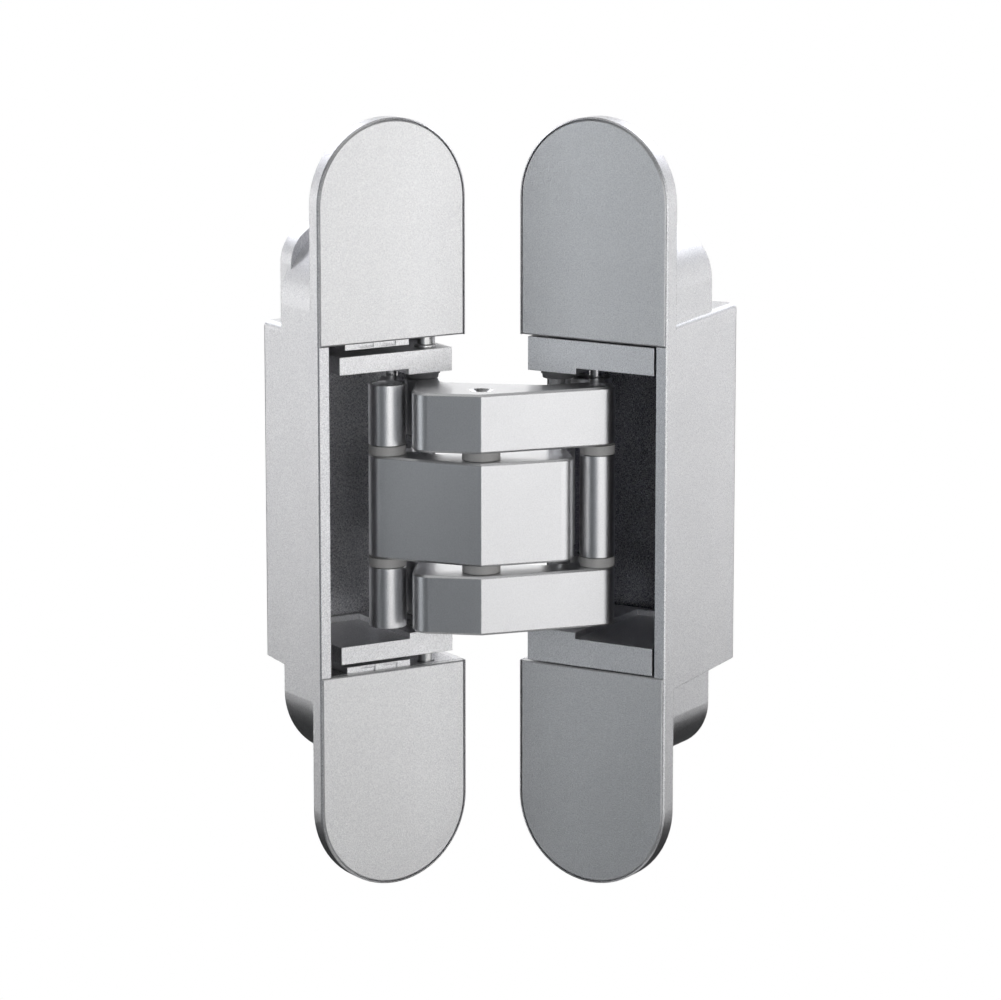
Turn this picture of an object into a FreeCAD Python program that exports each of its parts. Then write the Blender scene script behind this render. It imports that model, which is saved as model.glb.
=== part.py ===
# Concealed invisible door hinge with two pocketed leaves and a crossed arm linkage.
# Millimetres, +Z up along the pivot axes. The left leaf goes into the frame and the
# right leaf into the door. The origin is the middle of the left plate's back, the plane
# that seats in the frame, and -Y points out of the left leaf's face.
# The linkage is drawn in plan about the plane that halves the angle between the leaves,
# and the finished pieces are then turned into the frame of the left leaf.
import FreeCAD, Part
import math
import os

V = FreeCAD.Vector

# Leaves
leaf_height = 110.0
leaf_width = 23.8
leaf_turn = 31.0          # how far each leaf is turned from the line of a fully open hinge, degrees
half_gap = 3.8            # from the halving plane to the inner edge of a face
cap_thickness = 0.9
cap_rim = 0.25            # metal left round a cap
cap_gap = 0.07            # joint line between a cap and its rim
cap_split = 23.6          # height where the caps end and the open pocket begins
cap_edge_break = 0.2
clip_width = 1.2
clip_height = 3.0
clip_length = 1.2         # how far a clip reaches behind the cap
clip_place = 42.4         # height of the middle of a clip
clip_inset = 5.4          # from the edge of the leaf to a clip
clip_clearance = 0.1

# Die-cast bodies, left and right
plate_depth = {"left": 2.3, "right": 2.6}
body_depth = {"left": 16.5, "right": 21.1}
boss_depth = {"left": 10.7, "right": 13.7}
boss_inset = {"left": 0.0, "right": 0.4}             # from the leaf's sides to the boss
boss_upper_end = {"left": 40.2, "right": 39.15}
boss_lower_end = {"left": 37.4, "right": 36.9}
boss_upper_corner = {"left": leaf_width / 2, "right": 7.8}
boss_lower_corner = {"left": 10.0, "right": 7.1}
casting_top = {"left": (25.5, 25.5), "right": (26.5, 27.3)}      # height of the block at its face and back
casting_bottom = {"left": (24.3, 23.15), "right": (25.7, 24.5)}
casting_edge_round = 1.0
wall_outer = 1.7
wall_inner = 1.2
wall_back = 0.9
pocket_step_depth = 9.0   # behind it the left pocket is lower
pocket_rear_half = {"left": 22.75, "right": 23.6}
rim_edge_break = 0.2
side_opening_depth = 8.6  # how deep the inner side is open for the arms
rear_step_depth = 2.1     # second, lower step behind the upper boss of the left body
rear_step_inset = 1.1
rear_step_corner = 5.8
rear_step_end = 39.7

# Screw holes under the caps
fixing_radius = 2.2
fixing_head_radius = 3.5
plate_fixing_height = leaf_height / 2 - 7.0
boss_fixing_height = 32.7
boss_fixing_pocket = 3.5
boss_fixing_floor = 3.0   # metal left under the head
clamp_height = 26.1
clamp_shaft_radius = 1.25
clamp_head_radius = 2.2
clamp_head_height = 2.4
clamp_length = 9.0
hex_across = 2.0
hex_depth = 1.5

# Index blocks, one beside each carrier
block_from = 8.7
block_to = 18.95
block_front = 1.0
block_back = 6.0
block_top = 28.7
block_bottom = {"left": 22.7, "right": 23.6}
block_clearance = 0.1
scale_places = (10.95, 14.54)
scale_mark_width = 0.3
scale_mark_height = 1.6
scale_mark_depth = 0.2
scale_foot_length = 2.1   # sideways foot of each mark
scale_foot_height = 0.2

# Carriers, the end plates that hold the pivot pins
carrier_from = {"left": 2.3, "right": 1.4}
carrier_side_gap = {"left": 1.7, "right": 0.4}   # from a carrier to the outer wall
carrier_to = {"left": leaf_width - wall_outer - carrier_side_gap["left"],
              "right": leaf_width - wall_outer - carrier_side_gap["right"]}
carrier_back = {"left": 15.4, "right": 19.1}
carrier_inner_face = {"left": 19.45, "right": 19.5}
carrier_outer_face = {"left": 21.95, "right": 23.4}
carrier_pad_face = 18.62
carrier_pad_to = {"left": 9.3, "right": 9.2}
carrier_ledge = {"left": 0.8, "right": 1.0}      # thickness of the ledge along the back
carrier_corner = 1.2

# Height screws of the left leaf, seated in its carrier
height_travel = 0.7       # each way
jack_place = (5.15, 2.7)
jack_radius = 1.1
jack_seat = 0.5
jack_top = 28.2
jack_slot_width = 0.5
jack_slot_depth = 0.8
jack_clearance = 0.15

# Pivots in a leaf: distance from the inner edge and depth behind the face
leaf_pivot = {"left": (4.40, 4.75), "right": (3.89, 4.38)}
link_anchor = {"left": (7.40, 8.39), "right": (7.40, 8.79)}

# Pivots between the arms, in plan, with the hinge as it stands
centre_pivot = (-1.60, -9.00)
left_knuckle = (-14.88, -4.70)
right_knuckle = (14.76, -4.55)
left_eye = (-13.95, 3.34)    # middle of the wide eye of the left link
right_eye = (14.04, 3.69)

# Layers of the linkage, as heights above and below the middle
middle_arm_top = 7.35
outer_arm_bottom = 8.75
outer_arm_top = 17.15
knuckle_top = 17.4
right_link_top = 16.9
layer_clearance = 0.05

# Arms in plan
arm_nose = 3.95              # from the centre pivot to the front ridge
arm_nose_round = 0.45
arm_front_corner = {"left": (-8.7, -9.2), "right": (8.8, -6.9)}
arm_corner_round = 2.6
arm_waist = {"left": (-5.8, -0.9), "right": (5.6, -0.9)}
arm_waist_round = 1.5
arm_inside = {"left": (-7.0, -0.9), "right": (7.0, -0.5)}
arm_inside_round = 4.0
arm_end_radius = {"left": 2.65, "right": 2.5}
arm_root_radius = {"left": 2.4, "right": 2.35}
knuckle_passing = {"left": (-13.76, -2.15), "right": (13.55, -1.40)}   # its place with the hinge fully open
passing_clearance = 0.28
arm_edge_break = 0.3

# Pins, washers and bushes
running_clearance = 0.04
push_clearance = 0.01
root_pin_radius = 1.25
anchor_pin_radius = 1.0
knuckle_pin_radius = 1.2
centre_pin_radius = 1.8
centre_dish_depth = 0.5
pin_end_margin = 0.6
knuckle_recess_radius = 2.1
knuckle_recess_depth = 0.5
knuckle_pin_drop = 0.15      # from the top of the knuckles to the pin's end
washer_radius = 2.7
bush_flange_radius = 2.55
bush_flange_height = 0.8
bush_foot_radius = 2.3
bush_wall = 0.15
sleeve_radius = 1.65

# Links
eye_radius = {"left": 1.82, "right": 1.97}
eye_wall = {"left": 1.2, "right": 0.95}
spine_outer = 1.5         # from the line between knuckle and eye to the side away from the arm root
spine_inner = 0.7
spine_start = 3.3         # from the knuckle axis
eye_half_height = 7.0

half_width = leaf_width / 2
turn = math.radians(leaf_turn)
nodes = {}


# Geometry helpers

def leaf_to_plan(side, along, depth):
    """Plan position of a point given in a leaf by its distance from the inner edge and its depth."""
    x = half_gap + along * math.cos(turn) + depth * math.sin(turn)
    y = -along * math.sin(turn) + depth * math.cos(turn)
    return (-x, y) if side == "left" else (x, y)


def place(shape, side):
    """Move a shape drawn in leaf coordinates (along, depth, height) into the hinge."""
    moved = shape.copy()
    moved.rotate(V(0, 0, 0), V(0, 0, 1), -leaf_turn)
    moved.translate(V(half_gap, 0, 0))
    if side == "left":
        moved = moved.mirror(V(0, 0, 0), V(1, 0, 0))
    return moved


def below(shape):
    """The lower twin of a shape that stands in the upper half."""
    return shape.mirror(V(0, 0, 0), V(0, 0, 1))


def box(x0, x1, y0, y1, z0, z1):
    return Part.makeBox(x1 - x0, y1 - y0, z1 - z0, V(x0, y0, z0))


def disc(centre, radius, z0, z1):
    return Part.makeCylinder(radius, z1 - z0, V(centre[0], centre[1], z0))


def depth_cylinder(along, height, radius, d0, d1):
    """A cylinder whose axis runs into the leaf."""
    return Part.makeCylinder(radius, d1 - d0, V(along, d0, height), V(0, 1, 0))


def depth_cone(along, height, r0, r1, d0, d1):
    return Part.makeCone(r0, r1, d1 - d0, V(along, d0, height), V(0, 1, 0))


def rounded_outline(corners, lift=None):
    """Closed wire through corners (a, b, radius), each rounded by its own radius."""
    lift = lift or (lambda a, b: V(a, b, 0))
    count = len(corners)
    edges = []
    starts, ends, mids = [], [], []
    for i, (a, b, radius) in enumerate(corners):
        here = V(a, b, 0)
        back = (V(*corners[i - 1][:2], 0) - here).normalize()
        ahead = (V(*corners[(i + 1) % count][:2], 0) - here).normalize()
        half = back.getAngle(ahead) / 2
        reach = radius / math.tan(half)
        bisector = (back + ahead).normalize()
        starts.append(here + back * reach)
        ends.append(here + ahead * reach)
        mids.append(here + bisector * (radius / math.sin(half) - radius))
    for i in range(count):
        if corners[i][2] > 0:
            arc = Part.Arc(lift(*starts[i][:2]), lift(*mids[i][:2]), lift(*ends[i][:2]))
            edges.append(arc.toShape())
        first, last = ends[i], starts[(i + 1) % count]
        if (last - first).Length > 1e-6:
            edges.append(Part.LineSegment(lift(*first[:2]), lift(*last[:2])).toShape())
    return Part.Wire(edges)


def belt(circles):
    """Wire that runs counterclockwise round circles (x, y, radius); a negative radius is passed inside out."""
    count = len(circles)
    leave, arrive = [None] * count, [None] * count
    for i in range(count):
        x0, y0, r0 = circles[i]
        x1, y1, r1 = circles[(i + 1) % count]
        span = math.hypot(x1 - x0, y1 - y0)
        heading = math.atan2(y1 - y0, x1 - x0) + math.asin((r0 - r1) / span)
        leave[i] = heading
        arrive[(i + 1) % count] = heading
    edges = []
    for i, (x, y, radius) in enumerate(circles):
        sweep = (leave[i] - arrive[i]) % (2 * math.pi)
        if radius < 0:
            sweep -= 2 * math.pi
        ring = [tangent_point(x, y, radius, arrive[i] + sweep * part) for part in (0, 0.5, 1)]
        edges.append(Part.Arc(*ring).toShape())
        after = circles[(i + 1) % count]
        edges.append(Part.LineSegment(ring[2], tangent_point(*after, leave[i])).toShape())
    return Part.Wire(edges)


def tangent_point(x, y, radius, heading):
    """Where a path with this heading touches the circle."""
    return V(x + radius * math.sin(heading), y - radius * math.cos(heading), 0)


def upright(a, b):
    """Lift a leaf outline (along, height) into the face plane."""
    return V(a, 0, b)


def face_prism(corners, d0, d1):
    """Extrude an outline drawn on the face of a leaf from depth d0 to d1."""
    face = Part.Face(rounded_outline(corners, upright))
    face.translate(V(0, d0, 0))
    return face.extrude(V(0, d1 - d0, 0))


def plan_prism(corners, z0, z1):
    face = Part.Face(rounded_outline(corners))
    face.translate(V(0, 0, z0))
    return face.extrude(V(0, 0, z1 - z0))


def stadium(inset, d0, d1):
    radius = half_width - inset
    low, high = inset - leaf_height / 2, leaf_height / 2 - inset
    near, far = inset, leaf_width - inset
    corners = [(near, low, radius), (far, low, radius), (far, high, radius), (near, high, radius)]
    return face_prism(corners, d0, d1)


def break_flat_edges(shape, size, heights):
    """Chamfer every edge that lies in one of the given level planes."""
    edges = []
    for edge in shape.Edges:
        bound = edge.BoundBox
        flat = bound.ZLength < 1e-4
        if flat and any(abs(bound.ZMin - height) < 1e-4 for height in heights):
            edges.append(edge)
    return shape.makeChamfer(size, edges)


def toward(start, end, distance):
    """The point that lies a distance from start on the way to end."""
    step = V(end[0] - start[0], end[1] - start[1], 0).normalize() * distance
    return (start[0] + step.x, start[1] + step.y)


def spine_bar(side, start, end, z0, z1):
    """A straight bar in plan between two points, set off to the outer side of a link."""
    along = V(end[0] - start[0], end[1] - start[1], 0).normalize()
    outward = V(-along.y, along.x, 0) * (1 if side == "left" else -1)
    out, back = outward * spine_outer, outward * spine_inner
    a, b = V(*start, z0), V(*end, z0)
    wire = Part.makePolygon([a - back, b - back, b + out, a + out, a - back])
    return Part.Face(wire).extrude(V(0, 0, z1 - z0))


# Leaf bodies

def block_shape(side):
    """Middle block that tapers towards its back, with the rear and upper edges rounded."""
    depth = body_depth[side]
    top, rear_top = casting_top[side]
    bottom, rear_bottom = casting_bottom[side]
    block = Part.makeWedge(0, 0, -bottom, -rear_bottom, 0, leaf_width, depth, top, rear_top, leaf_width)
    lowest = min(top, rear_top)
    rounded = [e for e in block.Edges if e.BoundBox.YMin > depth - 1e-4]
    rounded += [e for e in block.Edges if e.BoundBox.ZMin > lowest - 1e-4 and e.BoundBox.YLength > 1]
    return block.makeFillet(casting_edge_round, rounded)


def boss_shape(side):
    """Raised part of the back that carries the load, with its upper end longer than the lower one."""
    near, far = boss_inset[side], leaf_width - boss_inset[side]
    low, low_corner = -boss_lower_end[side], boss_lower_corner[side] - 0.01
    high, high_corner = boss_upper_end[side], boss_upper_corner[side] - 0.01
    corners = [(near, low, low_corner), (far, low, low_corner),
               (far, high, high_corner), (near, high, high_corner)]
    return face_prism(corners, 0, boss_depth[side])


def rear_step():
    """Lower second step on the back of the left body's upper boss."""
    low = casting_top["left"][1] - casting_edge_round
    near, far = rear_step_inset, leaf_width - rear_step_inset
    corners = [(near, low, 0), (far, low, 0),
               (far, rear_step_end, rear_step_corner), (near, rear_step_end, rear_step_corner)]
    start = boss_depth["left"]
    return face_prism(corners, start - 1, start + rear_step_depth)


def clips(gap, start, end):
    """The two clips of a cap, or with a gap the windows that they snap into."""
    width, height = clip_width / 2 + gap, clip_height / 2 + gap
    return [box(along - width, along + width, start, end,
                clip_place - height, clip_place + height)
            for along in (clip_inset, leaf_width - clip_inset)]


def screw_holes(side):
    """Fixing, clamp and clip holes of the upper half of a leaf."""
    depth = boss_depth[side]
    through = depth + rear_step_depth + 1
    floor = depth - boss_fixing_floor
    cone_drop = fixing_head_radius - fixing_radius
    cuts = [depth_cylinder(half_width, plate_fixing_height, fixing_radius, 0, through),
            depth_cone(half_width, plate_fixing_height, fixing_head_radius, fixing_radius,
                       cap_thickness, cap_thickness + cone_drop),
            depth_cylinder(half_width, boss_fixing_height, fixing_radius, 0, through),
            depth_cylinder(half_width, boss_fixing_height, boss_fixing_pocket, 0, floor)]
    return cuts + clips(clip_clearance, 0, through)


def adjuster_holes(side):
    """Seat of the index block, its clamp screw and, on the left, the height screw."""
    gap = block_clearance
    middle = (block_from + block_to) / 2
    cuts = [box(block_from - gap, block_to + gap, 0, block_back + gap,
                cap_split - 1, block_top + gap),
            depth_cylinder(middle, clamp_height, clamp_shaft_radius + push_clearance,
                           0, block_front + clamp_length + gap)]
    if side == "left":
        cuts.append(disc(jack_place, jack_radius + jack_clearance, cap_split - 1,
                         jack_top + height_travel + gap))
    return cuts


def leaf_body(side):
    body = stadium(0, 0, plate_depth[side]).fuse([block_shape(side), boss_shape(side)]).removeSplitter()
    body = body.makeChamfer(rim_edge_break, [e for e in body.Edges if e.BoundBox.YMax < 1e-4])
    if side == "left":
        body = body.fuse(rear_step())
    body = body.removeSplitter()
    depth = body_depth[side]
    outer = leaf_width - wall_outer
    reach = leaf_height
    cap_seat = stadium(cap_rim, -1, cap_thickness)
    upper = box(-1, leaf_width + 1, -2, cap_thickness + 1, cap_split, reach)
    cuts = [cap_seat.common(upper), below(cap_seat.common(upper)),
            box(-1, outer, -1, side_opening_depth, -cap_split, cap_split),
            box(wall_inner, outer, -1, pocket_step_depth, -cap_split, cap_split),
            box(wall_inner, outer, pocket_step_depth - 1, depth - wall_back,
                -pocket_rear_half[side], pocket_rear_half[side])]
    for hole in screw_holes(side) + adjuster_holes(side):
        cuts += [hole, below(hole)]
    return body.cut(cuts)


def cap():
    """Snap-on cover of the upper half of a leaf, with two clips."""
    inset = cap_rim + cap_gap
    keep = box(0, leaf_width, -1, cap_thickness + 1, cap_split + cap_gap / 2, leaf_height)
    plate = stadium(inset, 0, cap_thickness).common(keep)
    front = [e for e in plate.Edges if e.BoundBox.YMax < 1e-4]
    plate = plate.makeChamfer(cap_edge_break, front)
    return plate.fuse(clips(0, cap_thickness - 0.1, cap_thickness + clip_length)).removeSplitter()


def index_block(side):
    """Clamped slide with scale lines on its front, which sets the carrier."""
    block = box(block_from, block_to, block_front, block_back, block_bottom[side], block_top)
    middle = (block_from + block_to) / 2
    head_floor = block_front + clamp_head_height + 0.2
    cuts = [depth_cylinder(middle, clamp_height, clamp_shaft_radius + push_clearance, 0, block_back + 1),
            depth_cylinder(middle, clamp_height, clamp_head_radius + 0.15, 0, head_floor)]
    low = block_bottom[side] + scale_foot_height
    floor = block_front + scale_mark_depth
    for along in scale_places:
        cuts.append(box(along - scale_mark_width / 2, along + scale_mark_width / 2,
                        block_front - 1, floor, low, low + scale_mark_height))
        cuts.append(box(along, along + scale_foot_length,
                        block_front - 1, floor, low, low + scale_foot_height))
    return block.cut(cuts)


def hexagon_socket(along, height, front):
    radius = hex_across / 2 / math.cos(math.pi / 6)
    corners = []
    for i in range(6):
        angle = math.radians(60 * i)
        corners.append((along + radius * math.cos(angle), height + radius * math.sin(angle), 0))
    return face_prism(corners, front, front + hex_depth)


def clamp_screw():
    """Cap screw that holds an index block."""
    middle = (block_from + block_to) / 2
    head_front = block_front + 0.2
    head = depth_cylinder(middle, clamp_height, clamp_head_radius, head_front,
                          head_front + clamp_head_height)
    shaft = depth_cylinder(middle, clamp_height, clamp_shaft_radius, head_front + 0.5,
                           block_front + clamp_length)
    screw = head.fuse(shaft).removeSplitter()
    return screw.cut(hexagon_socket(middle, clamp_height, head_front - 0.01))


def carrier(side):
    """Upper end plate with a thicker pad over the arm pivot and a ledge along its back."""
    near, far = carrier_from[side], carrier_to[side]
    back = carrier_back[side]
    inner, outer = carrier_inner_face[side], carrier_outer_face[side]
    corners = [(near, 0, 0), (far, 0, 0), (far, back, carrier_corner), (near, back, carrier_corner)]
    plate = plan_prism(corners, inner, outer)
    thick = plan_prism(corners, carrier_pad_face, inner)
    raised = thick.common([box(near, carrier_pad_to[side], 0, back, carrier_pad_face, inner),
                           box(near, far, back - carrier_ledge[side], back, carrier_pad_face, inner)])
    plate = plate.fuse(raised).removeSplitter()
    holes = [disc(leaf_pivot[side], root_pin_radius + push_clearance, 0, outer - pin_end_margin),
             disc(link_anchor[side], anchor_pin_radius + push_clearance, 0, outer - pin_end_margin)]
    if side == "left":
        holes.append(disc(jack_place, jack_radius + push_clearance, outer - jack_seat, outer + 1))
    return plate.cut(holes)


def jack_screw():
    """Height screw that stands in the left carrier and reaches into the body."""
    shaft = disc(jack_place, jack_radius, carrier_outer_face["left"] - jack_seat, jack_top)
    slot = box(jack_place[0] - jack_radius, jack_place[0] + jack_radius,
               jack_place[1] - jack_slot_width / 2, jack_place[1] + jack_slot_width / 2,
               jack_top - jack_slot_depth, jack_top + 1)
    return shaft.cut(slot)


# Pins and bushes

def bush(side):
    """Flanged plastic bush under a carrier pad, tapering to the arm."""
    x, y = leaf_to_plan(side, *leaf_pivot[side])
    top = carrier_pad_face
    foot = outer_arm_top + layer_clearance
    rim = top - bush_flange_height
    bore = root_pin_radius + push_clearance
    profile = [V(bore, 0, foot), V(bush_foot_radius, 0, foot),
               V(bush_flange_radius - bush_wall, 0, rim), V(bush_flange_radius, 0, rim),
               V(bush_flange_radius, 0, top), V(bore, 0, top), V(bore, 0, foot)]
    ring = Part.Face(Part.makePolygon(profile)).revolve(V(0, 0, 0), V(0, 0, 1), 360)
    ring.translate(V(x, y, 0))
    return ring


def washer(centre, bore, z0, z1, radius=washer_radius):
    return disc(centre, radius, z0, z1).cut(disc(centre, bore, z0 - 1, z1 + 1))


def dished_pin(centre, radius, half_length):
    """Through pin with a shallow dish in each end."""
    pin = disc(centre, radius, -half_length, half_length)
    dish = Part.makeCone(radius * 0.35, radius * 0.85, centre_dish_depth,
                         V(centre[0], centre[1], half_length - centre_dish_depth))
    return pin.cut([dish, below(dish)])


# Arms

def arm_outline(root_side):
    """Plan of an arm: rooted in one leaf, cranked at the centre, its far end at the other knuckle."""
    far_side = "right" if root_side == "left" else "left"
    knuckle = right_knuckle if root_side == "left" else left_knuckle
    root = leaf_to_plan(root_side, *leaf_pivot[root_side])
    nose = (centre_pivot[0], centre_pivot[1] - arm_nose + arm_nose_round, arm_nose_round)
    end = knuckle + (arm_end_radius[far_side],)
    inside = arm_inside[far_side] + (-arm_inside_round,)
    waist = arm_waist[root_side] + (-arm_waist_round,)
    top = root + (arm_root_radius[root_side],)
    scallop = knuckle_passing[root_side] + (-arm_end_radius[root_side] - passing_clearance,)
    corner = arm_front_corner[root_side] + (arm_corner_round,)
    if root_side == "left":
        return belt([nose, end, inside, waist, top, scallop, corner])
    return belt([nose, corner, scallop, top, waist, inside, end])


def arm(root_side, z0, z1, knuckle_bore):
    root = leaf_to_plan(root_side, *leaf_pivot[root_side])
    knuckle = right_knuckle if root_side == "left" else left_knuckle
    outline = Part.Face(arm_outline(root_side))
    outline.translate(V(0, 0, z0))
    solid = outline.extrude(V(0, 0, z1 - z0))
    solid = break_flat_edges(solid, arm_edge_break, (z0, z1))
    centre_bore = centre_pin_radius + (push_clearance if root_side == "left" else running_clearance)
    bores = [disc(root, root_pin_radius + running_clearance, z0 - 1, z1 + 1),
             disc(centre_pivot, centre_bore, z0 - 1, z1 + 1),
             disc(knuckle, knuckle_bore, z0 - 1, z1 + 1)]
    return solid.cut(bores)


# Links

def left_link():
    """Two knuckles round the middle arm's end, a spine and a wide eye deep in the pocket."""
    low = outer_arm_bottom + layer_clearance
    reach = math.dist(left_knuckle, left_eye)
    near = toward(left_knuckle, left_eye, spine_start)
    far = toward(left_knuckle, left_eye, reach - eye_radius["left"])
    spine = spine_bar("left", near, far, -knuckle_top, knuckle_top)
    web = spine_bar("left", left_knuckle, far, low, knuckle_top)
    end = disc(left_knuckle, arm_end_radius["left"], low, knuckle_top)
    ring = disc(left_eye, eye_radius["left"] + eye_wall["left"], -eye_half_height, eye_half_height)
    link = spine.fuse([ring, web, end, below(web), below(end)]).removeSplitter()
    bore = knuckle_pin_radius + running_clearance
    recess = disc(left_knuckle, knuckle_recess_radius, knuckle_top - knuckle_recess_depth, knuckle_top + 1)
    return link.cut([disc(left_knuckle, bore, -knuckle_top - 1, knuckle_top + 1), recess, below(recess),
                     disc(left_eye, eye_radius["left"], -knuckle_top - 1, knuckle_top + 1)])


def right_link():
    """One knuckle between the outer arms, a tall spine and two wide eyes."""
    low = outer_arm_bottom + layer_clearance
    half = middle_arm_top - layer_clearance
    reach = math.dist(right_knuckle, right_eye)
    near = toward(right_knuckle, right_eye, spine_start)
    far = toward(right_knuckle, right_eye, reach - eye_radius["right"])
    spine = spine_bar("right", near, far, -right_link_top, right_link_top)
    web = spine_bar("right", right_knuckle, far, -half, half)
    end = disc(right_knuckle, arm_end_radius["right"], -half, half)
    ring = disc(right_eye, eye_radius["right"] + eye_wall["right"], low, right_link_top)
    link = spine.fuse([web, end, ring, below(ring)]).removeSplitter()
    bore = knuckle_pin_radius + running_clearance
    return link.cut([disc(right_knuckle, bore, -half - 1, half + 1),
                     disc(right_eye, eye_radius["right"], -outer_arm_top - 1, outer_arm_top + 1)])


# Assembly

def settle(shape):
    """Turn a finished piece from the halving plane into the frame of the left leaf."""
    shape.rotate(V(0, 0, 0), V(0, 0, 1), -leaf_turn)
    shape.translate(V(half_gap * math.cos(turn) + half_width,
                      -half_gap * math.sin(turn) - plate_depth["left"], 0))


def add_pair(name, shape):
    """Store an upper piece and its mirrored lower twin."""
    nodes[name + "_upper"] = shape
    nodes[name + "_lower"] = below(shape)


def build_leaf(side):
    nodes[side + "_body"] = place(leaf_body(side), side)
    add_pair(side + "_cap", place(cap(), side))
    add_pair(side + "_index_block", place(index_block(side), side))
    add_pair(side + "_clamp_screw", place(clamp_screw(), side))
    add_pair(side + "_carrier", place(carrier(side), side))
    add_pair(side + "_pivot_bush", bush(side))
    anchor = leaf_to_plan(side, *link_anchor[side])
    reach = carrier_outer_face[side] - pin_end_margin - 0.1
    nodes[side + "_link_pin"] = disc(anchor, anchor_pin_radius, -reach, reach)


def build_linkage():
    left_root = leaf_to_plan("left", *leaf_pivot["left"])
    right_root = leaf_to_plan("right", *leaf_pivot["right"])
    add_pair("left_pivot_pin", disc(left_root, root_pin_radius, outer_arm_bottom + pin_end_margin,
                                    carrier_outer_face["left"] - pin_end_margin - 0.1))
    reach = carrier_outer_face["right"] - pin_end_margin - 0.1
    nodes["right_pivot_pin"] = disc(right_root, root_pin_radius, -reach, reach)
    add_pair("right_pivot_sleeve", washer(right_root, root_pin_radius + push_clearance,
                                          middle_arm_top + layer_clearance, outer_arm_top + layer_clearance,
                                          sleeve_radius))
    add_pair("left_height_screw", place(jack_screw(), "left"))
    add_pair("outer_arm", arm("left", outer_arm_bottom, outer_arm_top,
                              knuckle_pin_radius + push_clearance))
    nodes["middle_arm"] = arm("right", -middle_arm_top, middle_arm_top,
                              knuckle_pin_radius + push_clearance)
    nodes["left_link"] = left_link()
    nodes["right_link"] = right_link()
    nodes["centre_pin"] = dished_pin(centre_pivot, centre_pin_radius, outer_arm_top)
    reach = knuckle_top - knuckle_pin_drop
    nodes["left_knuckle_pin"] = disc(left_knuckle, knuckle_pin_radius, -reach, reach)
    nodes["right_knuckle_pin"] = disc(right_knuckle, knuckle_pin_radius,
                                      -outer_arm_top + pin_end_margin, outer_arm_top - pin_end_margin)
    low, high = middle_arm_top + layer_clearance, outer_arm_bottom - layer_clearance
    add_pair("centre_washer", washer(centre_pivot, centre_pin_radius + push_clearance, low, high))
    add_pair("left_knuckle_washer", washer(left_knuckle, knuckle_pin_radius + push_clearance,
                                           low, high, arm_end_radius["left"]))
    add_pair("right_knuckle_washer", washer(right_knuckle, knuckle_pin_radius + push_clearance,
                                            low, high, arm_end_radius["right"]))


def main():
    build_leaf("left")
    build_leaf("right")
    build_linkage()
    os.makedirs("parts", exist_ok=True)
    for name, shape in nodes.items():
        settle(shape)
        shape.exportStep("parts/%s.step" % name)
        print("%-26s solids %d  volume %9.2f  valid %s"
              % (name, len(shape.Solids), shape.Volume, shape.isValid()))
    print(len(nodes), "nodes")


main()
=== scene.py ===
# %% [markdown]
# # A concealed door hinge in satin chrome
# The hinge is cast and pressed metal: two pocketed leaves, cranked arms, pins, washers and
# plastic bushes. All of these come in as finished solids, so the scene has three jobs:
# light them as a product photograph does, give each surface its real finish, and add the
# small collars of the height screws, which the solids leave out.

# %% Load the hinge
import bpy
import bmesh
import math
from mathutils import Matrix, Vector


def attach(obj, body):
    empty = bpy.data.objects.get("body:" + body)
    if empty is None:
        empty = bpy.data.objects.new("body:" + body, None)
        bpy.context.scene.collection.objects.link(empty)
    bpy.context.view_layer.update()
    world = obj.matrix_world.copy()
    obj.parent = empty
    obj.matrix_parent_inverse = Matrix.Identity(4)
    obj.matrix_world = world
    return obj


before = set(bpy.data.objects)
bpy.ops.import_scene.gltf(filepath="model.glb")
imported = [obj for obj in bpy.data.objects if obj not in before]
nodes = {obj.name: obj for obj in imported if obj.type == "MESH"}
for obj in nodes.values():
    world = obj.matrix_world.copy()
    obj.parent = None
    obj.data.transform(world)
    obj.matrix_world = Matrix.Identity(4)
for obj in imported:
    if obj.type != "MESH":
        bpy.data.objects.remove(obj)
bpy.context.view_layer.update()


def in_mm(point, places=1):
    """A point in metres as rounded millimetres, for the printed lines."""
    return tuple(round(value * 1000, places) for value in point)


# %% [markdown]
# ## Where things are
# The two plates mirror each other in the plane that halves the angle between them, but the
# hinge stands in the frame of its left leaf. Each lamp could be placed in that frame by
# hand. One helper that turns a plan position in millimetres into metres in that frame is
# simpler: with it, lights and camera are placed in the symmetrical plan.

# %% From the symmetrical plan to the part's frame
LEAF_TURN = math.radians(31.0)
HALF_GAP = 3.8
HALF_WIDTH = 11.9
PLATE_BACK = 2.3


def settled(x, y, z=0.0):
    """A point of the symmetrical plan, in millimetres, as metres in the part's frame."""
    c, s = math.cos(LEAF_TURN), math.sin(LEAF_TURN)
    return Vector((x * c + y * s + HALF_GAP * c + HALF_WIDTH,
                   -x * s + y * c - HALF_GAP * s - PLATE_BACK, z)) / 1000


def turned(x, y):
    """A level direction of the symmetrical plan in the part's frame."""
    return (settled(x, y) - settled(0, 0)).normalized()


print("halving plane leaves the origin at", in_mm(settled(0, 0), 2))

# %% [markdown]
# ## Camera
# The photograph was taken with a long lens from a little above. A long focal length keeps
# the upright edges nearly parallel; the camera could also be orthographic, but then the
# slight convergence of the leaves would be missing.

# %% Camera at the photograph's angle
SENSOR_MM, LENS_MM = 36.0, 166.25
CAMERA_PLACE = (-0.116, -644.79, 129.33)
CAMERA_PITCH, CAMERA_YAW = math.radians(11.368), math.radians(0.109)
NEAREST, FARTHEST = 0.05, 20.0


def aim(holder, direction):
    """Turn a camera or lamp so that it looks along this direction and stays upright."""
    holder.rotation_mode = "QUATERNION"
    holder.rotation_quaternion = direction.to_track_quat("-Z", "Y")


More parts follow.
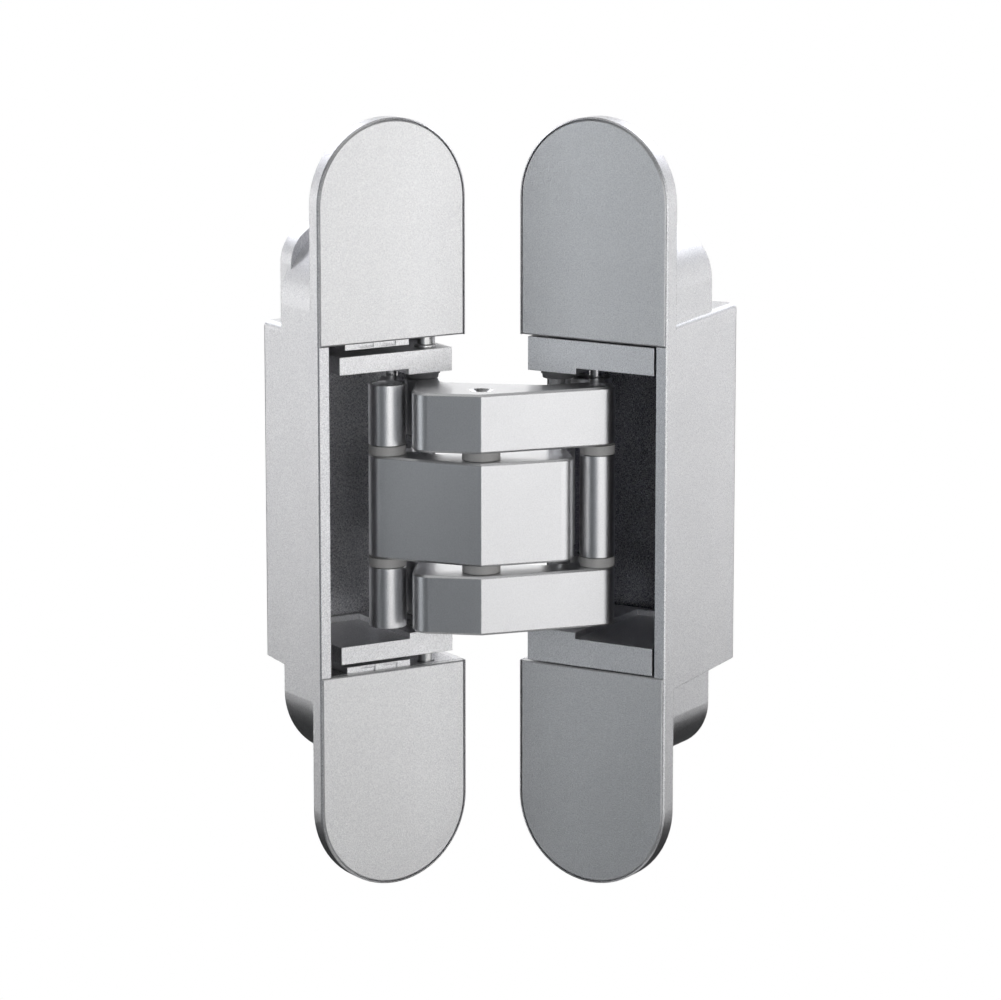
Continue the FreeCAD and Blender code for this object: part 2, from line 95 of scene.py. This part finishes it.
camera = bpy.data.objects.new("camera", bpy.data.cameras.new("camera"))
bpy.context.scene.collection.objects.link(camera)
bpy.context.scene.camera = camera
camera.data.sensor_width, camera.data.lens = SENSOR_MM, LENS_MM
camera.data.clip_start, camera.data.clip_end = NEAREST, FARTHEST
camera.location = settled(*CAMERA_PLACE)
level = math.cos(CAMERA_PITCH)
look = turned(math.sin(CAMERA_YAW) * level, math.cos(CAMERA_YAW) * level) * level
look.z = -math.sin(CAMERA_PITCH)
aim(camera, look)
print("camera", in_mm(camera.location), "looks along", tuple(round(v, 3) for v in look))

# %% [markdown]
# ## Studio
# Satin metal shows the room more than its own colour: a face takes its tone from whatever
# stands where it mirrors the camera's line. The faces of the left leaf and the right halves
# of the arms look to the right, those of the right leaf and the left halves of the arms to
# the left, and the outer sides of both bodies look far back. So each group gets softboxes
# of its own on one circle round the hinge, bright on the right and at the back, weak and a
# little cool on the left, and all of them stand low enough to fade towards the hinge's foot.
# The rounded tops mirror a band high at the back, so two more stand there.
# Two wide ones straight above and below hardly touch this view, but without them the hinge
# would turn black for anyone who looks down on it.
# An image of a studio could do the same, but lamps keep every tone adjustable by one number.

# %% A softbox on the circle
LIGHT_DISTANCE = 900
COOL, HALF_COOL, FAINTLY_COOL = (0.86, 0.93, 1.0), (0.92, 0.96, 1.0), (0.95, 0.96, 1.0)


def softbox(name, bearing, height, wide, tall, watts, tint=(1, 1, 1)):
    """A softbox that faces the hinge; its bearing runs from the camera's line to the right."""
    lamp = bpy.data.lights.new(name, "AREA")
    lamp.shape, lamp.size, lamp.size_y = "RECTANGLE", wide, tall
    lamp.energy, lamp.color = watts, tint
    holder = bpy.data.objects.new(name, lamp)
    bpy.context.scene.collection.objects.link(holder)
    around, reach = math.radians(bearing), math.sqrt(LIGHT_DISTANCE ** 2 - height ** 2)
    holder.location = settled(reach * math.sin(around), -reach * math.cos(around), height)
    aim(holder, settled(0, 0) - holder.location)
    holder.visible_camera = False
    return holder


print("softboxes stand", LIGHT_DISTANCE, "mm from the hinge")

# %% Thirteen softboxes: bearing in degrees, height in mm, size in metres, power in watts
lights = [softbox("right_of_camera", 14, 20, 0.40, 0.42, 1.20),
          softbox("front_right", 38, -62, 0.40, 0.66, 0.88),
          softbox("far_right", 62, -4, 0.45, 0.52, 1.21),
          softbox("back_right", 118, -5, 0.40, 0.53, 1.08),
          softbox("left_of_camera", -8, 0, 0.35, 0.50, 0.23, COOL),
          softbox("front_left", -35, 30, 0.40, 0.42, 0.12, COOL),
          softbox("far_left", -65, 34, 0.45, 0.44, 0.90, HALF_COOL),
          softbox("back_left", -110, 8, 0.40, 0.48, 1.20),
          softbox("behind", 180, 180, 0.80, 0.40, 1.45),
          softbox("high_right", 146, 420, 0.65, 0.45, 2.20, FAINTLY_COOL),
          softbox("high_left", -146, 420, 0.65, 0.45, 2.20, FAINTLY_COOL),
          softbox("overhead", 0, 880, 1.10, 1.10, 2.20),
          softbox("below", 0, -880, 1.10, 1.10, 1.50)]
print("lights", {lamp.name: round(lamp.data.energy, 2) for lamp in lights})

# %% [markdown]
# ## The room's own light
# A dark studio still has some stray light, or the pockets and gaps would be quite black.
# One more lamp could give it, but a world of one pale tone reaches every corner evenly.
# The Standard view shows the tones as they are computed, so white paper stays white.

# %% A trace of light from all sides
ROOM_TONE, ROOM_LIGHT = (0.80, 0.82, 0.86, 1), 0.015

world = bpy.data.worlds.new("room")
bpy.context.scene.world = world
world.use_nodes = True
background = world.node_tree.nodes["Background"]
background.inputs["Color"].default_value = ROOM_TONE
background.inputs["Strength"].default_value = ROOM_LIGHT
bpy.context.scene.view_settings.view_transform = "Standard"
print("room light", ROOM_LIGHT)

# %% [markdown]
# ## The white round the hinge
# The hinge stands free on white, without a shadow or a horizon. A white world could show
# that, but it would shine into every face as well. So floor and backdrop are one sheet of
# paper, as in a studio: a plane whose far edge is pulled up and whose corner is rounded,
# in a material that glows evenly. The camera sees it, but the metal neither mirrors it nor
# is lit or shaded by it, so the softboxes alone set the tones.

# %% A material with one bare shader
def nodes_of(material):
    """Clear a material down to one Principled shader; gives its tree and that shader."""
    material.use_nodes = True
    tree = material.node_tree
    tree.nodes.clear()
    out = tree.nodes.new("ShaderNodeOutputMaterial")
    shader = tree.nodes.new("ShaderNodeBsdfPrincipled")
    tree.links.new(shader.outputs["BSDF"], out.inputs["Surface"])
    return tree, shader


PAPER = {"Base Color": (0.0, 0.0, 0.0, 1), "Specular IOR Level": 0.0, "Roughness": 1.0,
         "Emission Color": (1, 1, 1, 1), "Emission Strength": 1.0}
paper = bpy.data.materials.new("studio_paper")
tree, shader = nodes_of(paper)
for socket, value in PAPER.items():
    shader.inputs[socket].default_value = value
print("paper", PAPER)

# %% Sweep: floor and backdrop in one
SWEEP_SIZE, SWEEP_RISE = 5.0, 3.0
CORNER_WIDTH, CORNER_STEPS = 1.2, 24
NEAR_BACK_EDGE = 2.4

bpy.ops.object.select_all(action="DESELECT")
bpy.ops.mesh.primitive_plane_add(size=SWEEP_SIZE, location=(0, 0, 0))
sweep = bpy.context.active_object
sweep.name = "sweep"
bpy.ops.object.mode_set(mode="EDIT")
edit = bmesh.from_edit_mesh(sweep.data)
for edge in edit.edges:
    edge.select_set(all(vert.co.y > NEAR_BACK_EDGE for vert in edge.verts))
bmesh.update_edit_mesh(sweep.data)
bpy.ops.mesh.extrude_region_move(TRANSFORM_OT_translate={"value": (0, 0, SWEEP_RISE)})
bpy.ops.object.mode_set(mode="OBJECT")
corner = sweep.modifiers.new("round the corner", "BEVEL")
corner.width, corner.segments = CORNER_WIDTH, CORNER_STEPS
bpy.ops.object.modifier_apply(modifier=corner.name)
bpy.ops.object.shade_smooth()
print("sweep faces", len(sweep.data.polygons))

# %% The sweep under the hinge, seen by the camera alone
FLOOR_LEVEL = -0.0564

middle = settled(0, 0)
sweep.data.transform(Matrix.Translation((middle.x, middle.y, FLOOR_LEVEL))
                     @ Matrix.Rotation(-LEAF_TURN, 4, "Z"))
sweep.data.materials.append(paper)
sweep.visible_glossy = False
sweep.visible_diffuse = False
sweep.visible_shadow = False
print("floor at", round(FLOOR_LEVEL * 1000, 1), "mm")

# %% [markdown]
# ## Blasted and plated metal
# The castings, caps and arms carry the same satin chrome: a bright metal blasted to a fine
# grain before plating, so it glitters softly instead of mirroring. Grain could be a picture
# of a surface, but noises do it at any size and from any side: a fine one for the blasted
# grain, which drives bump, tone and roughness together, and a broad one for the slight
# clouding of plating. Edges are polished by handling, so they are a little smoother; the
# bevel node finds them by comparing its rounded normal with the true one.

# %% Ranges and sums in a node tree
def ranged(tree, factor, low, high):
    """A factor of nought to one, spread over low to high."""
    mapped = tree.nodes.new("ShaderNodeMapRange")
    mapped.inputs["To Min"].default_value = low
    mapped.inputs["To Max"].default_value = high
    tree.links.new(factor, mapped.inputs["Value"])
    return mapped.outputs["Result"]


def arithmetic(tree, operation, *terms):
    """One Math node; each term is a number or another node's output."""
    node = tree.nodes.new("ShaderNodeMath")
    node.operation = operation
    for socket, term in zip(node.inputs, terms):
        if isinstance(term, (int, float)):
            socket.default_value = term
        else:
            tree.links.new(term, socket)
    return node.outputs["Value"]


print("node helpers", ranged.__name__, arithmetic.__name__)

# %% Grain and clouding
GRAIN_DETAIL, GRAIN_ROUGHNESS = 2.0, 0.7
CLOUD_MM, CLOUD_SHARE = 9.0, 0.3


def noise(tree, size_mm, detail=2.0, rough=0.5):
    """Noise with features of about this size, on Object coordinates."""
    node = tree.nodes.new("ShaderNodeTexNoise")
    node.inputs["Scale"].default_value = 1000.0 / size_mm
    node.inputs["Detail"].default_value = detail
    node.inputs["Roughness"].default_value = rough
    place = tree.nodes.new("ShaderNodeTexCoord")
    tree.links.new(place.outputs["Object"], node.inputs["Vector"])
    return node.outputs["Fac"]


print("plating clouds over", CLOUD_MM, "mm")

# %% Edges that handling has polished
EDGE_MM, EDGE_SAMPLES = 0.12, 3
FLAT_COSINE, EDGE_COSINE = 1.0, 0.9
EDGE_WEAR = 0.10


def softened_edges(tree, width_mm):
    """A normal rounded at the edges, and a mask that is one on edges and nought on flats."""
    bevel = tree.nodes.new("ShaderNodeBevel")
    bevel.samples = EDGE_SAMPLES
    bevel.inputs["Radius"].default_value = width_mm / 1000
    true = tree.nodes.new("ShaderNodeNewGeometry")
    dot = tree.nodes.new("ShaderNodeVectorMath")
    dot.operation = "DOT_PRODUCT"
    tree.links.new(bevel.outputs["Normal"], dot.inputs[0])
    tree.links.new(true.outputs["Normal"], dot.inputs[1])
    ramp = tree.nodes.new("ShaderNodeMapRange")
    ramp.inputs["From Min"].default_value = FLAT_COSINE
    ramp.inputs["From Max"].default_value = EDGE_COSINE
    tree.links.new(dot.outputs["Value"], ramp.inputs["Value"])
    return bevel.outputs["Normal"], ramp.outputs["Result"]


print("edges rounded by", EDGE_MM, "mm are smoother by", EDGE_WEAR)

# %% [markdown]
# ## Inside the pockets
# Plating hardly reaches into a deep pocket, so there the casting stays bare and coarser;
# its colour is also darkened as painted shade, for the shade that falls into the recess.
# A second material on the pocket faces would need the mesh cut up; instead a mask finds
# them by place: Object coordinates are moved and turned so that the pocket is a cube round
# the origin, and what lies inside the cube is pocket. The shallow left pocket gets more of
# the light, and the last number of each says how much darker the pocket is painted: partly
# its bare casting, mostly painted shade, so the right pocket, weakly lit from the left, gets
# far more of it.

# %% A mask for a box in the piece's own space
def inside_box(tree, centre_mm, turn_deg, half_mm):
    """One inside a box turned about the upright axis, and nought outside it."""
    mapping = tree.nodes.new("ShaderNodeMapping")
    mapping.vector_type = "TEXTURE"
    mapping.inputs["Location"].default_value = [c / 1000 for c in centre_mm]
    mapping.inputs["Rotation"].default_value = (0, 0, math.radians(turn_deg))
    mapping.inputs["Scale"].default_value = [h / 1000 for h in half_mm]
    place = tree.nodes.new("ShaderNodeTexCoord")
    tree.links.new(place.outputs["Object"], mapping.inputs["Vector"])
    size = tree.nodes.new("ShaderNodeVectorMath")
    size.operation = "ABSOLUTE"
    tree.links.new(mapping.outputs["Vector"], size.inputs[0])
    parts = tree.nodes.new("ShaderNodeSeparateXYZ")
    tree.links.new(size.outputs["Vector"], parts.inputs["Vector"])
    widest = arithmetic(tree, "MAXIMUM", parts.outputs["X"], parts.outputs["Y"])
    widest = arithmetic(tree, "MAXIMUM", widest, parts.outputs["Z"])
    return arithmetic(tree, "LESS_THAN", widest, 1.0)


# Last number: how much darker the pocket's tone is painted, a little for the bare casting and
# the rest painted shade; the right pocket's larger number is painted shade for its weak light.
POCKETS_BARE_AND_SHADED = {"left": ((0.25, 5.85, 0), 0, (10.5, 7.75, 23.65), 0.65),
           "right": ((33.11, -11.59, 0), -62, (10.5, 10.05, 23.65), 1.95)}
POCKET_BUMP, POCKET_SPECKLE = 1.5, 4.0
print("pockets: centre, turn, half sizes, shade", POCKETS_BARE_AND_SHADED)

# %% [markdown]
# ## One recipe for every surface
# Each surface of the hinge has two tones, a roughness, and a grain with its own size, depth
# and contrast. Every one could get a tree of its own, but one recipe with those numbers as
# its values keeps them alike where they should be. The mix of the tones isn't clamped, so
# single specks pass both of them, as grains that catch the light do.

# %% The recipe
GRAIN_MM, GRAIN_HEIGHT = 0.15, 0.000035
BLEND_MIDDLE = 0.35
ROUGHNESS_SPREAD = 0.06


def satin_metal(name, dark, light, rough, grain_mm=GRAIN_MM, bump=1.0, speckle=2.2,
                metallic=1.0, pocket=None):
    """A grained surface: dark and light are its two tones, rough its roughness on flats."""
    material = bpy.data.materials.new(name)
    tree, shader = nodes_of(material)
    grain = noise(tree, grain_mm, GRAIN_DETAIL, GRAIN_ROUGHNESS)
    cloud = noise(tree, CLOUD_MM)
    rounded, edge = softened_edges(tree, EDGE_MM)
    speck = ranged(tree, grain, BLEND_MIDDLE - speckle, BLEND_MIDDLE + speckle)
    blend = arithmetic(tree, "ADD", speck, ranged(tree, cloud, 0.0, CLOUD_SHARE))

    relief = tree.nodes.new("ShaderNodeBump")
    relief.inputs["Distance"].default_value = GRAIN_HEIGHT
    relief.inputs["Strength"].default_value = bump
    # Inside the pocket box the tone is pulled darker by the shade number: partly the bare
    # casting, mostly painted shade of the recess. The grain there is also coarser and deeper.
    if pocket:
        *box, shade = pocket
        bare_and_shaded_mask = inside_box(tree, *box)
        half = POCKET_SPECKLE / 2
        coarse = ranged(tree, grain, -shade - half, -shade + half)
        blend = arithmetic(tree, "MULTIPLY_ADD", bare_and_shaded_mask, coarse, blend)
        depth = arithmetic(tree, "MULTIPLY_ADD", bare_and_shaded_mask, POCKET_BUMP - bump, bump)
        tree.links.new(depth, relief.inputs["Strength"])
    tree.links.new(grain, relief.inputs["Height"])
    tree.links.new(rounded, relief.inputs["Normal"])
    tree.links.new(relief.outputs["Normal"], shader.inputs["Normal"])

    tone = tree.nodes.new("ShaderNodeMix")
    tone.data_type = "RGBA"
    tone.clamp_factor = False
    tone.inputs["A"].default_value = (*dark, 1)
    tone.inputs["B"].default_value = (*light, 1)
    tree.links.new(blend, tone.inputs["Factor"])
    tree.links.new(tone.outputs["Result"], shader.inputs["Base Color"])

    flats = ranged(tree, grain, rough - ROUGHNESS_SPREAD, rough + ROUGHNESS_SPREAD)
    worn = arithmetic(tree, "MULTIPLY_ADD", edge, -EDGE_WEAR, flats)
    tree.links.new(worn, shader.inputs["Roughness"])
    shader.inputs["Metallic"].default_value = metallic
    return material


print("grain", GRAIN_MM, "mm wide,", round(GRAIN_HEIGHT * 1000, 3), "mm high")

# %% [markdown]
# ## Satin chrome
# Leaves, caps, carriers and arms are die-cast zinc. The caps are bright and the most matt,
# because they are what shows once the hinge is fitted. The arms are finished finer before
# they are plated, so their grain is shallower and their specks are weaker. One chrome could
# serve all four, but then the caps would not stand out from their leaves as they really do.

# %% Finishes of the zinc castings
CASTING = ((0.66, 0.66, 0.68), (0.88, 0.88, 0.89), 0.36)
finishes = {
    # Both castings carry painted shade inside their pockets, on top of the darker bare casting
    # there.
    "left_body": satin_metal("satin_chrome_left_casting", *CASTING, pocket=POCKETS_BARE_AND_SHADED["left"]),
    "right_body": satin_metal("satin_chrome_right_casting", *CASTING, pocket=POCKETS_BARE_AND_SHADED["right"]),
    "cap": satin_metal("satin_chrome_cap", (0.74, 0.74, 0.75), (0.90, 0.90, 0.90), 0.40),
    "arm": satin_metal("satin_chrome_arm", (0.66, 0.66, 0.67), (0.84, 0.84, 0.85), 0.33,
                       bump=0.45, speckle=0.8),
    "carrier": satin_metal("satin_chrome_carrier", (0.72, 0.72, 0.73), (0.94, 0.94, 0.95), 0.38),
}
print("finishes", sorted(finishes))

# %% [markdown]
# ## Ground pins and plated screws
# The pins turn in their eyes, so they are ground and hardly grained, and mirror the
# softboxes in long streaks. The screws are zinc-plated steel, a little darker and duller.
# A turned pattern round each pin would be truer close up, but it is finer than one pixel
# here, so the same recipe with nearly no bump is enough.

# %% Finishes of the steel
finishes["pin"] = satin_metal("ground_steel_pin", (0.60, 0.60, 0.61), (0.80, 0.80, 0.80), 0.25,
                              grain_mm=0.12, bump=0.10, speckle=0.4)
finishes["screw"] = satin_metal("zinc_plated_screw", (0.50, 0.50, 0.50), (0.74, 0.74, 0.73),
                                0.30, bump=0.15, speckle=0.6)
print("steel", [finishes[kind].name for kind in ("pin", "screw")])

# %% [markdown]
# ## Nylon washers and bushes
# Grey washers keep the arms apart, and dark bushes hold the pivots under the carriers. Both
# are moulded nylon. It could have a soft glow inside, but pieces this thin and this
# dense show none of it, so they are plain surfaces with the faint grain of the mould.

# %% Finishes of the nylon
finishes["washer"] = satin_metal("grey_nylon_washer", (0.48, 0.47, 0.46), (0.60, 0.59, 0.58),
                                 0.45, bump=0.3, speckle=0.8, metallic=0.0)
finishes["bush"] = satin_metal("dark_nylon_bush", (0.14, 0.14, 0.145), (0.22, 0.22, 0.225),
                               0.42, bump=0.3, speckle=0.8, metallic=0.0)
print("nylon", [finishes[kind].name for kind in ("washer", "bush")])

# %% [markdown]
# ## Dressing the solids
# Every solid keeps its mesh and gets one of the finishes. They could be listed one by one,
# but their names say what they are, so a short table of words finds the finish. The order
# of the table matters: the name of a link's pin holds the word for a link as well.

# %% Which piece gets which finish
KINDS = (("_cap", "cap"), ("left_body", "left_body"), ("right_body", "right_body"),
         ("carrier", "carrier"), ("index_block", "carrier"), ("bush", "bush"),
         ("washer", "washer"), ("screw", "screw"), ("_pin", "pin"), ("sleeve", "pin"),
         ("arm", "arm"), ("_link", "arm"))


def kind_of(name):
    """The finish that a piece of this name gets."""
    return next(kind for word, kind in KINDS if word in name)


for name, piece in nodes.items():
    piece.data.materials.clear()
    piece.data.materials.append(finishes[kind_of(name)])
print({kind: sum(kind_of(name) == kind for name in nodes) for kind in finishes})

# %% [markdown]
# ## Collars of the height screws
# Each height screw of the left leaf stands in a small pressed collar on its carrier, which
# takes the leaf's weight. It could be spun from its section, but a flat ring is quicker the
# other way round: a disc is added at its size and place, both ends are inset to the bore,
# the inner faces are bridged into a hole, and the upper rim is rolled over with a bevel.
# The second collar is the first one turned over, with a mesh of its own.

# %% Where the collars stand
def limits(piece):
    """Lowest and highest corner of a piece."""
    points = [piece.matrix_world @ vert.co for vert in piece.data.vertices]
    return [Vector(pick(point[axis] for point in points) for axis in range(3))
            for pick in (min, max)]


screw_low, screw_high = limits(nodes["left_height_screw_upper"])
carrier_top = limits(nodes["left_carrier_upper"])[1].z
foot = (screw_low + screw_high) / 2
foot.z = 0.0
print("screw's foot", in_mm(foot, 2), "carrier's top", round(carrier_top * 1000, 2))

# %% A ring from a disc
COLLAR_RADIUS, COLLAR_BORE, COLLAR_HEIGHT, COLLAR_SIDES = 0.00155, 0.00113, 0.00038, 48
FLAT_NORMAL = 0.9

bpy.ops.object.select_all(action="DESELECT")
bpy.ops.mesh.primitive_cylinder_add(vertices=COLLAR_SIDES, radius=COLLAR_RADIUS,
                                    depth=COLLAR_HEIGHT,
                                    location=(foot.x, foot.y, carrier_top + COLLAR_HEIGHT / 2))
collar = bpy.context.active_object
collar.name = collar.data.name = "height_screw_collar_upper"
bpy.ops.object.mode_set(mode="EDIT")
bpy.ops.mesh.select_mode(type="FACE")
bpy.ops.mesh.select_all(action="DESELECT")
ring = bmesh.from_edit_mesh(collar.data)
for face in ring.faces:
    face.select_set(abs(face.normal.z) > FLAT_NORMAL)
bmesh.update_edit_mesh(collar.data)
bpy.ops.mesh.inset(thickness=COLLAR_RADIUS - COLLAR_BORE)
bpy.ops.mesh.bridge_edge_loops()
print("ring faces", len(bmesh.from_edit_mesh(collar.data).faces))

# %% Its upper rim rolled over
COLLAR_ROLL, ROLL_STEPS, ON_RIM = 0.00012, 3, 0.00002
SMOOTH_BELOW = math.radians(40)


def on_upper_rim(vert):
    """True for a corner on the collar's upper outer rim, in the collar's own space."""
    return vert.co.z > 0 and vert.co.xy.length > COLLAR_RADIUS - ON_RIM


bpy.ops.mesh.select_mode(type="EDGE")
bpy.ops.mesh.select_all(action="DESELECT")
ring = bmesh.from_edit_mesh(collar.data)
for edge in ring.edges:
    edge.select_set(all(on_upper_rim(vert) for vert in edge.verts))
bmesh.update_edit_mesh(collar.data)
bpy.ops.mesh.bevel(offset=COLLAR_ROLL, segments=ROLL_STEPS, affect="EDGES")
bpy.ops.object.mode_set(mode="OBJECT")
bpy.ops.object.transform_apply(location=True, rotation=False, scale=False)
bpy.ops.object.shade_smooth_by_angle(angle=SMOOTH_BELOW)
print("collar faces", len(collar.data.polygons))

# %% The lower collar, and both on the carriers' body
turned_over = (Matrix.Translation(foot) @ Matrix.Rotation(math.pi, 4, "X")
               @ Matrix.Translation(-foot))
lower = bpy.data.objects.new("height_screw_collar_lower", collar.data.copy())
lower.data.name = lower.name
lower.data.transform(turned_over)
bpy.context.scene.collection.objects.link(lower)
for piece in (collar, lower):
    piece.data.materials.append(finishes["screw"])
    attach(piece, "left_carrier")
print("collars", [in_mm(limits(piece)[0], 2) for piece in (collar, lower)])
